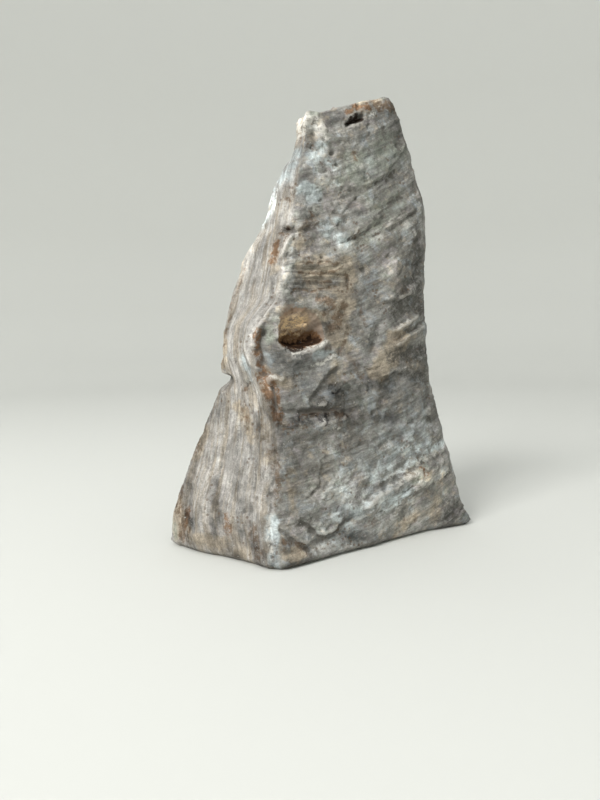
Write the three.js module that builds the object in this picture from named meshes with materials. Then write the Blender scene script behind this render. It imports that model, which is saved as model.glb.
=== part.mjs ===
// A raw block of soapstone for carving: one upright, tapering stone that stands on its flat foot.
// Its front is a cleaved face with a deep niche in it. Its left side shows the edges of the stone's layers.
// Millimetres, +Z up, the front towards -Y, the origin under the middle of the block.
import * as THREE from "three";

// ---- Driving dimensions ----
const FOOT_INSET = 3.5; // the foot's edge lies this far inside the lowest edge that shows
const FOOT_RISE = 3.2; // which is this high above the surface that the block stands on
const NORMAL_REACH = 6; // how far along the outline each way a point's outward direction is taken from
const LAYER_RELIEF = 1.5; // how far the layers' edges stand out
const LAYER_THICKNESS = 9;
const LAYER_STEP = 0.4; // the share of a layer's thickness over which its edge gives way to the next one's
const LAYER_WAVE = 0.5; // how far the layers wander from flat, in thicknesses
const LAYER_WAVE_WIDTH = 60;
const LAYER_WAVE_HEIGHT = 45;
const LUMP_RELIEF = 1.6; // how deep the broad, uneven lumps are
const LUMP_WIDTH = 24;
const LUMP_HEIGHT = 30;
const CHIP_RELIEF = 1.5; // how deep the flaked chips are
const CHIP_WIDTH = 26;
const CHIP_HEIGHT = 13;
const CHIPS_LOST = 0.75; // the share of the chips' depth that is missing where the front crosses the layers
const BREAKS_FROM = -20; // the x from which the breaks in the front start to climb
const BREAKS_SLOPE = 0.1; // how steeply they climb there
const BREAKS_CURVE = 0.0042; // and how fast they steepen towards the right
const FOOT_CALM = 10; // the height up to which the relief fades towards the foot
const FOOT_KEEPS = 3; // the relief would be gone this far below the foot, so that some is left at its edge
const TOP_DOME = 2.5; // how much the top swells over its rim
const TOP_RELIEF = 1.4; // how uneven it is
const TOP_RELIEF_WIDTH = 11;
const TOP_MEETS = 0.93; // the sides follow the top's forms from this share of the block's height up
const FRONT_RUNS_OUT = 0.5; // the front's forms run out over this share of each face beside it

// ---- Mesh density: rows of the sides, each [up to this height, in this many rows] ----
const ROW_BANDS = [
  [95, 19],
  [133, 16],
  [240, 21],
];
const TOP_RINGS = 5;

// The stations below are measured from a line this far, in x and y, from the middle of the finished box.
const OFF_MIDDLE = [2.6, 0.1];

// The corners of the block's outline, anticlockwise from the left one as seen from above. Each runs from the
// foot to the rim of the top through stations [z, x, y]. round is how far its edge is rounded off each way.
// columns are the mesh columns of the face that follows it, each [up to this share of the face, this many].
const CORNERS = [
  {
    name: "left",
    round: 4,
    columns: [[1, 16]],
    path: [
      [0, -87, -22],
      [9, -87, -21],
      [24, -82.8, -19],
      [47, -75, -17],
      [74, -63.4, -16],
      [90, -56, -15],
      [102, -56, -15],
      [131, -51.6, -14],
      [149, -46.6, -13],
      [163, -39.9, -13],
      [173, -31.7, -13],
      [190, -26.2, -12.5],
      [200, -22.4, -12],
      [210, -12.2, -12],
      [217, -9.6, -12],
      [226, -11, -12],
    ],
  },
  {
    name: "arris",
    round: 8,
    columns: [
      [0.44, 16],
      [1, 8],
    ],
    path: [
      [0, -22.5, -67.5],
      [10, -23.5, -65],
      [23, -25, -61.5],
      [55, -22, -56.5],
      [70, -21.7, -54],
      [82, -23.5, -52.4],
      [98, -29.5, -50],
      [111, -33, -47.8],
      [123, -30, -46],
      [133, -22.7, -44.5],
      [145, -20, -42.5],
      [168, -16, -39],
      [193, -12.7, -35],
      [213, -9.9, -32],
      [227, -9, -30],
    ],
  },
  {
    name: "shoulder",
    round: 12,
    columns: [[1, 6]],
    path: [
      [0, 60, -8.5],
      [30, 60, -14],
      [60, 55, -15],
      [100, 50, -13],
      [140, 49, -11],
      [180, 46, -10],
      [215, 40, -10],
      [242, 35, -11],
    ],
  },
  {
    name: "right",
    round: 4,
    columns: [[1, 8]],
    path: [
      [0, 94.5, 5],
      [13, 89, 4],
      [32, 82.4, 3],
      [46, 78, 3],
      [64, 72.4, 3],
      [80, 68, 3],
      [92, 65.6, 3],
      [106, 63.8, 3],
      [130, 62.4, 3],
      [156, 62, 3],
      [176, 61.8, 2],
      [187, 61.4, 2],
      [207, 58.2, 1],
      [222, 53.6, 0],
      [236, 48.4, -1],
      [243.5, 45, -2],
    ],
  },
  {
    name: "back_right",
    round: 6,
    columns: [[1, 8]],
    path: [
      [0, 68, 46],
      [60, 60, 42],
      [120, 52, 35],
      [180, 45, 27],
      [238, 36, 17],
    ],
  },
  {
    name: "back",
    round: 9,
    columns: [[1, 8]],
    path: [
      [0, 14, 66],
      [50, 13, 59],
      [110, 16, 48],
      [170, 19, 36],
      [236, 20, 22],
    ],
  },
  {
    name: "back_left",
    round: 6,
    columns: [[1, 8]],
    path: [
      [0, -58, 42],
      [50, -52, 37],
      [100, -40, 30],
      [150, -28, 24],
      [200, -10, 18],
      [231, -2, 14],
    ],
  },
];
const [, ARRIS, SHOULDER, RIGHT, BACK_RIGHT, , BACK_LEFT] = CORNERS.keys();

// ---- The forms of the faces ----
// A form follows a path of points [x, z] and stands rise out of the face along it, or lies in it where rise
// is negative. It runs out over up on the path's left, over down on its right, and over ends at its two ends.
const FRONT_FORMS = [
  // the shallow, brownish hollow over the niche, and the sharp edge at its left
  { path: [[-15, 141], [12, 146]], rise: -3, up: 11, down: 10, ends: 12 },
  { path: [[-22, 133], [-19, 141], [-15, 151], [-9, 155]], rise: 1.6, up: 4, down: 2.5, ends: 6 },
  // the lip under the niche, and the smooth, hollow cheek under the lip
  {
    path: [[-19, 106.5], [-12, 105.6], [-6, 106.3], [-1, 109], [4, 112]],
    rise: 2.2,
    up: 2,
    down: 9,
    ends: 5,
  },
  { path: [[-18, 92], [6, 98]], rise: -2.2, up: 10, down: 9, ends: 11 },
  // the sunk patch at the niche's left, and the raised rim around it
  { path: [[-29.5, 121], [-31.5, 110], [-29, 98]], rise: -3.2, up: 11, down: 2.2, ends: 5 },
  { path: [[-29, 125], [-33, 117], [-35, 110], [-34, 103], [-30, 96]], rise: 2.4, up: 2, down: 5, ends: 5 },
  // the small ledge that closes the patch, and the rusty groove down from it
  { path: [[-31, 93], [-25, 95], [-17, 94]], rise: 2.4, up: 1.5, down: 7, ends: 4 },
  { path: [[-27, 92], [-24.5, 86], [-23.5, 76]], rise: -1.8, up: 2, down: 2, ends: 4 },
  // the long level crack, with the stone under it a little proud
  { path: [[-23, 78], [-12, 76], [0, 76], [14, 76.5]], rise: -1.8, up: 4, down: 1, ends: 5 },
  { path: [[-16, 72], [0, 71.5], [18, 73]], rise: 1.2, up: 2.5, down: 9, ends: 7 },
  // the notch in the front edge, and the flap of stone under it
  { path: [[-21, 170.5], [-17, 169], [-11, 171]], rise: -2.4, up: 1.3, down: 4, ends: 4 },
  { path: [[-21, 153], [-18, 159], [-12, 168]], rise: 2, up: 2.5, down: 1.5, ends: 4 },
  // the sloping ledges of the upper right
  { path: [[8, 163], [22, 170], [38, 182]], rise: 2, up: 9, down: 2, ends: 8 },
  { path: [[34, 171], [45, 178], [56, 187]], rise: 1.8, up: 7, down: 1.5, ends: 6 },
  { path: [[12, 190], [28, 196], [46, 208]], rise: 1.6, up: 8, down: 2, ends: 9 },
  { path: [[-10, 193], [2, 197], [14, 203]], rise: 1.5, up: 2, down: 7, ends: 7 },
  // the middle right: an overhung band, and two ledges that catch the light under it
  { path: [[30, 134], [44, 135], [58, 139]], rise: 1.8, up: 8, down: 1.5, ends: 6 },
  { path: [[36, 116], [48, 121], [60, 127]], rise: 1.8, up: 1.5, down: 4, ends: 5 },
  { path: [[38, 107], [50, 114], [64, 122]], rise: 2.2, up: 1.5, down: 8, ends: 6 },
  { path: [[24, 98], [30, 112], [33, 126]], rise: -1.6, up: 5, down: 4, ends: 8 },
  { path: [[11, 101], [2, 91], [-8, 79]], rise: -2.2, up: 8, down: 1.5, ends: 5 },
  // the lower right: a ledge that climbs to the right, and the fainter one above it
  { path: [[18, 20], [30, 29], [42, 31], [58, 39], [76, 42]], rise: 2.8, up: 2.5, down: 15, ends: 8 },
  { path: [[30, 52], [46, 57], [66, 68]], rise: 1.3, up: 2, down: 8, ends: 9 },
  // the V-shaped chips over the foot
  { path: [[-13, 24], [2, 10], [15, 20]], rise: -1.8, up: 1.5, down: 5, ends: 4 },
  { path: [[-24, 21], [-13, 12], [-4, 4]], rise: -1.7, up: 1.5, down: 5, ends: 4 },
  // the slot under the top's edge, and the arch of the nub beside it
  { path: [[15, 224.5], [20, 228], [27, 233]], rise: -5, up: 2, down: 2, ends: 3 },
  { path: [[-10, 219], [-6, 225.5], [0, 227.5], [5, 218]], rise: 1.4, up: 3, down: 3, ends: 4 },
  { path: [[-5, 216], [1, 219]], rise: -1.8, up: 4, down: 4, ends: 4 },
  // the swell of the left face's foot, and the step in the left edge
  { path: [[-72, -30], [-58, 48]], rise: 3.5, up: 16, down: 16, ends: 26 },
  { path: [[-62, 93], [-47, 93]], rise: -4.8, up: 2.5, down: 8, ends: 6 },
];
const BACK_FORMS = [
  { path: [[80, 74], [66, 84], [40, 92]], rise: -2.6, up: 3, down: 14, ends: 9 },
  { path: [[62, 118], [52, 150], [46, 176]], rise: -2.8, up: 9, down: 3, ends: 14 },
  { path: [[58, 206], [36, 198], [16, 208]], rise: 2.2, up: 2, down: 9, ends: 8 },
  { path: [[60, 60], [30, 74], [0, 70]], rise: 3, up: 4, down: 16, ends: 12 },
  { path: [[48, 140], [30, 128], [14, 130], [-6, 118]], rise: 2.6, up: 3, down: 14, ends: 10 },
  { path: [[-20, 90], [-34, 62], [-44, 30]], rise: -3, up: 12, down: 7, ends: 16 },
  { path: [[30, 190], [8, 178]], rise: -2.4, up: 9, down: 6, ends: 9 },
  { path: [[70, 20], [40, 27], [6, 22]], rise: -2.2, up: 10, down: 3, ends: 12 },
  { path: [[-20, 165], [-32, 140], [-44, 120]], rise: 2.2, up: 6, down: 3, ends: 12 },
];
// The top's own forms: [x, y, reach, rise].
const TOP_FORMS = [
  [-3, -28, 7, 3.5], // the nub at its front left
  [6, -19, 5, -4], // the notch beside the nub
  [39, -9, 7, 1.8], // the knob at its right end
  [16, 4, 14, -3], // the dip in its middle
];

// The niche: a deep, eye-shaped pocket over a shelf that curves up at both ends.
const NICHE = {
  middle: -9.5,
  halfWidth: 12,
  shelf: 108.3, // the height of its floor at its middle
  climb: 0.06, // how much the floor rises for each millimetre to the right
  bowl: 0.03, // and how fast it curves up both ways
  lean: 0.22, // how far to the left its top lies, as a share of its height
  height: 20,
  depth: 9.5,
  squareness: 2.5, // 2 would make its ends round, and more makes them blunt
  floor: 0.12, // the share of its height over which the floor turns out
};

const smooth = (t) => {
  const s = THREE.MathUtils.clamp(t, 0, 1);
  return s * s * (3 - 2 * s);
};

// ---- Uneven stone: the same pseudo-random numbers each time, from whole-number coordinates ----
const SEEDS = { layers: 11, chips: 5, lumps: 3, top: 7 };

function random(i, j, k) {
  let h = Math.imul(i, 73856093) ^ Math.imul(j, 19349663) ^ Math.imul(k, 83492791);
  h = Math.imul(h ^ (h >>> 13), 1274126177);
  return ((h ^ (h >>> 16)) >>> 0) / 2 ** 32;
}

// Smooth noise from -1 to 1.
function noise(x, y, z, seed) {
  const [i, j, k] = [x, y, z].map(Math.floor);
  const [u, v, w] = [smooth(x - i), smooth(y - j), smooth(z - k)];
  let sum = 0;
  for (let corner = 0; corner < 8; corner++) {
    const [a, b, c] = [corner & 1, (corner >> 1) & 1, corner >> 2];
    const weight = (a ? u : 1 - u) * (b ? v : 1 - v) * (c ? w : 1 - w);
    sum += weight * random(i + a + seed, j + b, k + c);
  }
  return 2 * sum - 1;
}

// How far the edge of the layer at this depth stands out, from -1 to 1, with a steep step to the next one.
function layers(depth, seed) {
  const i = Math.floor(depth);
  const step = smooth((depth - i - 0.5) / LAYER_STEP + 0.5);
  return 2 * THREE.MathUtils.lerp(random(i, seed, 0), random(i + 1, seed, 0), step) - 1;
}

// Flaked chips: bowls with sharp edges between them, from -1 at a bowl's middle to 0 at its edge.
function chips(x, y, z, seed) {
  const [i, j, k] = [x, y, z].map(Math.floor);
  let nearest = Infinity;
  for (let a = i - 1; a <= i + 1; a++)
    for (let b = j - 1; b <= j + 1; b++)
      for (let c = k - 1; c <= k + 1; c++) {
        const dx = a + random(a + seed, b, c) - x;
        const dy = b + random(a, b + seed, c) - y;
        const dz = c + random(a, b, c + seed) - z;
        nearest = Math.min(nearest, dx * dx + dy * dy + dz * dz);
      }
  return Math.min(nearest, 1) - 1;
}

// A smooth curve through a corner's stations, at height z.
function station(path, z) {
  let i = 0;
  while (i < path.length - 2 && z > path[i + 1][0]) i++;
  const before = path[Math.max(i - 1, 0)];
  const [from, to] = [path[i], path[i + 1]];
  const after = path[Math.min(i + 2, path.length - 1)];
  const span = to[0] - from[0];
  const t = (z - from[0]) / span;
  const bend = (a) => {
    const slopeIn = (to[a] - before[a]) / (to[0] - before[0]);
    const slopeOut = (after[a] - from[a]) / (after[0] - from[0]);
    const [h00, h10] = [(1 + 2 * t) * (1 - t) ** 2, t * (1 - t) ** 2];
    const [h01, h11] = [t * t * (3 - 2 * t), t * t * (t - 1)];
    return h00 * from[a] + h10 * span * slopeIn + h01 * to[a] + h11 * span * slopeOut;
  };
  return new THREE.Vector3(bend(1), bend(2), z);
}

// The corners at share v of their own heights.
const cornersAt = (v) => CORNERS.map((corner) => station(corner.path, v * corner.path.at(-1)[0]));

// The point of the outline at share t of the way along face k, with its corners rounded.
function outlinePoint(corners, k, t) {
  const n = corners.length;
  const length = corners[k].distanceTo(corners[(k + 1) % n]);
  const nearest = t < 0.5 ? k : (k + 1) % n;
  const corner = corners[nearest];
  const gap = (t < 0.5 ? t : 1 - t) * length;
  const reach = CORNERS[nearest].round;
  if (gap >= reach) return corners[k].clone().lerp(corners[(k + 1) % n], t);
  const towards = (other) => corner.clone().add(other.clone().sub(corner).setLength(reach));
  const a = towards(corners[(nearest + n - 1) % n]);
  const b = towards(corners[(nearest + 1) % n]);
  const w = t < 0.5 ? 0.5 + gap / reach / 2 : 0.5 - gap / reach / 2;
  return a
    .multiplyScalar((1 - w) ** 2)
    .addScaledVector(corner, 2 * w * (1 - w))
    .addScaledVector(b, w * w);
}

// The outline's point a distance along it from share t of face k, either way, past one corner at most.
function outlineFrom(corners, k, t, distance) {
  const n = corners.length;
  const length = corners[k].distanceTo(corners[(k + 1) % n]);
  const s = t + distance / length;
  if (s >= 0 && s <= 1) return outlinePoint(corners, k, s);
  const other = s < 0 ? (k + n - 1) % n : (k + 1) % n;
  const otherLength = corners[other].distanceTo(corners[(other + 1) % n]);
  const past = ((s < 0 ? -s : s - 1) * length) / otherLength;
  return outlinePoint(corners, other, s < 0 ? 1 - past : past);
}

// The level direction straight out of the face there.
function outward(corners, k, t) {
  const back = outlineFrom(corners, k, t, -NORMAL_REACH);
  const ahead = outlineFrom(corners, k, t, NORMAL_REACH);
  return new THREE.Vector3(ahead.y - back.y, back.x - ahead.x, 0).normalize();
}

// How far one form stands out of the face at x, z.
function formRise({ path, rise, up, down, ends }, x, z) {
  let nearest = Infinity;
  let [side, along, total] = [1, 0, 0];
  for (let i = 0; i < path.length - 1; i++) {
    const [[x0, z0], [x1, z1]] = [path[i], path[i + 1]];
    const [dx, dz] = [x1 - x0, z1 - z0];
    const length = Math.hypot(dx, dz);
    const t = THREE.MathUtils.clamp(((x - x0) * dx + (z - z0) * dz) / length ** 2, 0, 1);
    const distance = Math.hypot(x - x0 - t * dx, z - z0 - t * dz);
    if (distance < nearest) {
      nearest = distance;
      side = Math.sign(dx * (z - z0) - dz * (x - x0));
      along = total + t * length;
    }
    total += length;
  }
  const taper = smooth(Math.min(along, total - along) / ends);
  return rise * taper * (1 - smooth(nearest / (side > 0 ? up : down)));
}

// The niche's depth at x, z: it deepens downwards, and its floor turns out again at the shelf.
function nicheDepth(x, z) {
  const aside = x - NICHE.middle;
  const rise = z - NICHE.shelf - NICHE.climb * aside - NICHE.bowl * aside * aside;
  const across = Math.abs(aside + (NICHE.lean * rise * rise) / NICHE.height) / NICHE.halfWidth;
  if (across >= 1) return 0;
  const open = 1 - across ** NICHE.squareness;
  const share = rise / (NICHE.height * Math.sqrt(open));
  if (share <= 0 || share >= 1) return 0;
  const profile = share < NICHE.floor
    ? smooth(share / NICHE.floor)
    : 1 - smooth((share - NICHE.floor) / (1 - NICHE.floor));
  return NICHE.depth * open ** 0.8 * profile;
}

// How far the stone stands out of its plain outline at a point on face k.
function relief(corners, point, normal, k, t) {
  const { x, y, z } = point;
  // the front's forms run out just round the two corners that part it from the back
  let front = 1;
  if (k === RIGHT) front = 1 - smooth(t / FRONT_RUNS_OUT);
  else if (k === BACK_LEFT) front = 1 - smooth((1 - t) / FRONT_RUNS_OUT);
  else if (k >= BACK_RIGHT) front = 0;
  let out = 0;
  if (front > 0) {
    for (const form of FRONT_FORMS) out += front * formRise(form, x, z);
    out -= front * nicheDepth(x, z);
  }
  if (front < 1) for (const form of BACK_FORMS) out += (1 - front) * formRise(form, x, z);
  // the layers lie along the front, so that they show as ridges on the faces that cross them
  const along = corners[SHOULDER].clone().sub(corners[ARRIS]).normalize();
  const inward = new THREE.Vector3(-along.y, along.x, 0);
  const depth = point.clone().sub(corners[ARRIS]).dot(inward);
  const crossing = 1 - normal.dot(inward) ** 2;
  const wave = noise(x / LAYER_WAVE_WIDTH, y / LAYER_WAVE_WIDTH, z / LAYER_WAVE_HEIGHT, SEEDS.layers);
  out += LAYER_RELIEF * crossing * layers(depth / LAYER_THICKNESS + LAYER_WAVE * wave, SEEDS.layers);
  // the breaks climb more and more steeply towards the right
  const s = Math.max(x - BREAKS_FROM, 0);
  const level = z - BREAKS_SLOPE * s - BREAKS_CURVE * s * s;
  const chip = chips(x / CHIP_WIDTH, y / CHIP_WIDTH, level / CHIP_HEIGHT, SEEDS.chips);
  out += CHIP_RELIEF * (1 - CHIPS_LOST * front * crossing) * (chip + 0.5);
  // and the back is rougher than the front
  const lump = noise(x / LUMP_WIDTH, y / LUMP_WIDTH, z / LUMP_HEIGHT, SEEDS.lumps);
  out += LUMP_RELIEF * (2 - front) * lump;
  return out * smooth((z + FOOT_KEEPS) / (FOOT_CALM + FOOT_KEEPS));
}

// The top's height over its plain rim at x, y.
function topRise(x, y) {
  let rise = TOP_RELIEF * noise(x / TOP_RELIEF_WIDTH, y / TOP_RELIEF_WIDTH, 0.5, SEEDS.top);
  for (const [cx, cy, reach, height] of TOP_FORMS)
    rise += height * (1 - smooth(Math.hypot(x - cx, y - cy) / reach));
  return rise;
}

// The shares of the block's height that the mesh's rows lie at.
function rowShares() {
  const shares = [FOOT_RISE / ROW_BANDS.at(-1)[0]];
  let from = FOOT_RISE;
  for (const [to, count] of ROW_BANDS) {
    for (let i = 1; i <= count; i++)
      shares.push((from + ((to - from) * i) / count) / ROW_BANDS.at(-1)[0]);
    from = to;
  }
  return shares;
}

// The places [face, share along it] that the mesh's columns lie at.
function columnPlaces() {
  const places = [];
  CORNERS.forEach(({ columns }, k) => {
    let from = 0;
    for (const [to, count] of columns) {
      for (let j = 0; j < count; j++) places.push([k, from + ((to - from) * j) / count]);
      from = to;
    }
  });
  return places;
}

function buildBlock() {
  const places = columnPlaces();
  const shares = rowShares();
  const rows = shares.map((v) => {
    const corners = cornersAt(v);
    // the sides rise and fall with the top where they meet it
    const near = smooth((v - TOP_MEETS) / (1 - TOP_MEETS));
    return places.map(([k, t]) => {
      const point = outlinePoint(corners, k, t);
      const normal = outward(corners, k, t);
      point.z += near * topRise(point.x, point.y);
      return point.addScaledVector(normal, relief(corners, point, normal, k, t));
    });
  });
  // the foot: the lowest outline moved in, and down to the surface
  const lowest = cornersAt(shares[0]);
  const foot = places.map(([k, t], j) =>
    rows[0][j].clone().addScaledVector(outward(lowest, k, t), -FOOT_INSET).setZ(0),
  );
  // the top: rings that close on its middle and swell a little on the way, from the rim as it would be plain
  const rim = rows.at(-1).map((p) => p.clone().setZ(p.z - topRise(p.x, p.y)));
  const width = places.length;
  const middle = rim.reduce((sum, p) => sum.add(p), new THREE.Vector3()).divideScalar(width);
  const swell = (share) => TOP_DOME * (1 - (1 - share) ** 2);
  const ring = (share) =>
    rim.map((p) => {
      const point = p.clone().lerp(middle, share);
      return point.setZ(point.z + swell(share) + topRise(point.x, point.y));
    });
  const rings = [];
  for (let i = 1; i < TOP_RINGS; i++) rings.push(ring(i / TOP_RINGS));
  const peak = ring(1)[0];

  const sheet = [foot, ...rows, ...rings];
  const points = sheet.flat();
  const footCentre = points.push(new THREE.Vector3(0, 0, 0)) - 1;
  const topCentre = points.push(peak) - 1;
  const index = [];
  const last = (sheet.length - 1) * width;
  for (let j = 0; j < width; j++) {
    const next = (j + 1) % width;
    index.push(footCentre, next, j);
    index.push(topCentre, last + j, last + next);
    for (let i = 0; i < last; i += width)
      index.push(i + j, i + next, i + next + width, i + j, i + next + width, i + j + width);
  }
  const geometry = new THREE.BufferGeometry().setFromPoints(points);
  geometry.setIndex(index);
  geometry.computeVertexNormals();
  return geometry;
}

const soapstone = new THREE.MeshStandardMaterial({
  color: 0xa39c94,
  roughness: 0.9,
  metalness: 0,
});

const block = new THREE.Mesh(buildBlock(), soapstone);
block.name = "soapstone_block";
block.position.set(-OFF_MIDDLE[0], -OFF_MIDDLE[1], 0);

const group = new THREE.Group();
group.add(block);

export default group;
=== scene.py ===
# A raw block of soapstone for carving, on a pale floor. The stone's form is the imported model's, with its
# cleavage lines, chips, pits and grain added. Lengths are in millimetres until the mesh is made.
import math
from itertools import product
from types import SimpleNamespace

import bpy
import numpy as np
from mathutils import Matrix, Vector


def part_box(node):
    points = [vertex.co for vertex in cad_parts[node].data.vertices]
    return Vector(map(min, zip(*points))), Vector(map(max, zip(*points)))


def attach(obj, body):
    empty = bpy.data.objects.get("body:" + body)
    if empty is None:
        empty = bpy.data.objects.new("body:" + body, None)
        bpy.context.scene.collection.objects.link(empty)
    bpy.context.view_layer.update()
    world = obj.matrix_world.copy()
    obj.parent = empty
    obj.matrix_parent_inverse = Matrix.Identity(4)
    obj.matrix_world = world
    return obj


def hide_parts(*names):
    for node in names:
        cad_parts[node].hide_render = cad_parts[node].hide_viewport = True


MM = 0.001
NODE = "soapstone_block"

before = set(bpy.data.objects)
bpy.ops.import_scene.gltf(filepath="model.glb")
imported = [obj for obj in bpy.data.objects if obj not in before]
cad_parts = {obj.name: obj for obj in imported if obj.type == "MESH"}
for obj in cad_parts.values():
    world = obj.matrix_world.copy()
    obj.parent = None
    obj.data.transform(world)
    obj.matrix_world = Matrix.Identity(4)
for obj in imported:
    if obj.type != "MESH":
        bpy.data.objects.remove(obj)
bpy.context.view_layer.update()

# ======== The block's form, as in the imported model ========
FOOT_INSET = 3.5  # the foot's edge lies this far inside the lowest edge that shows
FOOT_RISE = 3.2  # which is this high up
NORMAL_REACH = 6.0  # how far along the outline, each way, its outward direction is taken from
LAYER_RELIEF = 1.5  # how far the layers' edges stand out
LAYER_THICKNESS = 9.0
LAYER_STEP = 0.4  # the share of a thickness over which one layer's edge gives way to the next
LAYER_WAVE = 0.5  # how far the layers wander from flat, in thicknesses
LAYER_WAVE_WIDTH = 60.0
LAYER_WAVE_HEIGHT = 45.0
LUMP_RELIEF = 1.6  # how deep the broad, uneven lumps are
LUMP_WIDTH = 24.0
LUMP_HEIGHT = 30.0
CHIP_RELIEF = 1.5  # how deep the flaked chips are
CHIP_WIDTH = 26.0
CHIP_HEIGHT = 13.0
CHIPS_LOST = 0.75  # the share of their depth that is missing where the front crosses the layers
BREAKS_FROM = -20.0  # the x from which the breaks in the front start to climb
BREAKS_SLOPE = 0.1  # how steeply they climb there
BREAKS_CURVE = 0.0042  # and how fast they steepen towards the right
FOOT_CALM = 10.0  # below this height the relief fades
FOOT_KEEPS = 3.0  # to nothing this far under the foot
TOP_DOME = 2.5  # how much the top swells over its rim
TOP_RELIEF = 1.4  # how uneven it is
TOP_RELIEF_WIDTH = 11.0
TOP_MEETS = 0.93  # the sides follow the top's forms from this share of their height up
FRONT_RUNS_OUT = 0.5  # its forms run out over this share of each face beside it
HEIGHT = 240.0

# The stations are measured from a line this far, in x and y, from the middle of the finished box.
OFF_MIDDLE = (2.6, 0.1)

# The corners of the outline, anticlockwise from the left one as seen from above: how far each is rounded, the
# mesh columns of the face after it, as (up to this share of the face, this many), and its stations (z, x, y).
CORNERS = {
    "left": (4, [(1, 84)], [
        (0, -87, -22), (9, -87, -21), (24, -82.8, -19), (47, -75, -17), (74, -63.4, -16), (90, -56, -15),
        (102, -56, -15), (131, -51.6, -14), (149, -46.6, -13), (163, -39.9, -13), (173, -31.7, -13),
        (190, -26.2, -12.5), (200, -22.4, -12), (210, -12.2, -12), (217, -9.6, -12), (226, -11, -12),
    ]),
    "arris": (8, [(0.44, 58), (1, 58)], [
        (0, -22.5, -67.5), (10, -23.5, -65), (23, -25, -61.5), (55, -22, -56.5), (70, -21.7, -54),
        (82, -23.5, -52.4), (98, -29.5, -50), (111, -33, -47.8), (123, -30, -46), (133, -22.7, -44.5),
        (145, -20, -42.5), (168, -16, -39), (193, -12.7, -35), (213, -9.9, -32), (227, -9, -30),
    ]),
    "shoulder": (12, [(1, 32)], [
        (0, 60, -8.5), (30, 60, -14), (60, 55, -15), (100, 50, -13), (140, 49, -11), (180, 46, -10),
        (215, 40, -10), (242, 35, -11),
    ]),
    "right": (4, [(1, 28)], [
        (0, 94.5, 5), (13, 89, 4), (32, 82.4, 3), (46, 78, 3), (64, 72.4, 3), (80, 68, 3), (92, 65.6, 3),
        (106, 63.8, 3), (130, 62.4, 3), (156, 62, 3), (176, 61.8, 2), (187, 61.4, 2), (207, 58.2, 1),
        (222, 53.6, 0), (236, 48.4, -1), (243.5, 45, -2),
    ]),
    "back_right": (6, [(1, 28)], [
        (0, 68, 46), (60, 60, 42), (120, 52, 35), (180, 45, 27), (238, 36, 17),
    ]),
    "back": (9, [(1, 30)], [
        (0, 14, 66), (50, 13, 59), (110, 16, 48), (170, 19, 36), (236, 20, 22),
    ]),
    "back_left": (6, [(1, 32)], [
        (0, -58, 42), (50, -52, 37), (100, -40, 30), (150, -28, 24), (200, -10, 18), (231, -2, 14),
    ]),
}
FACES = {name: k for k, name in enumerate(CORNERS)}
ROUNDS = np.array([c[0] for c in CORNERS.values()], float)
ROW_BANDS = [(95, 98), (133, 46), (HEIGHT, 114)]  # the sides' rows: up to this height, this many
FOOT_EDGE = [(0.0, 1.0), (0.22, 0.62), (0.55, 0.28)]  # the rings of its edge: shares of the rise and inset
TOP_RINGS = 12

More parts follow.
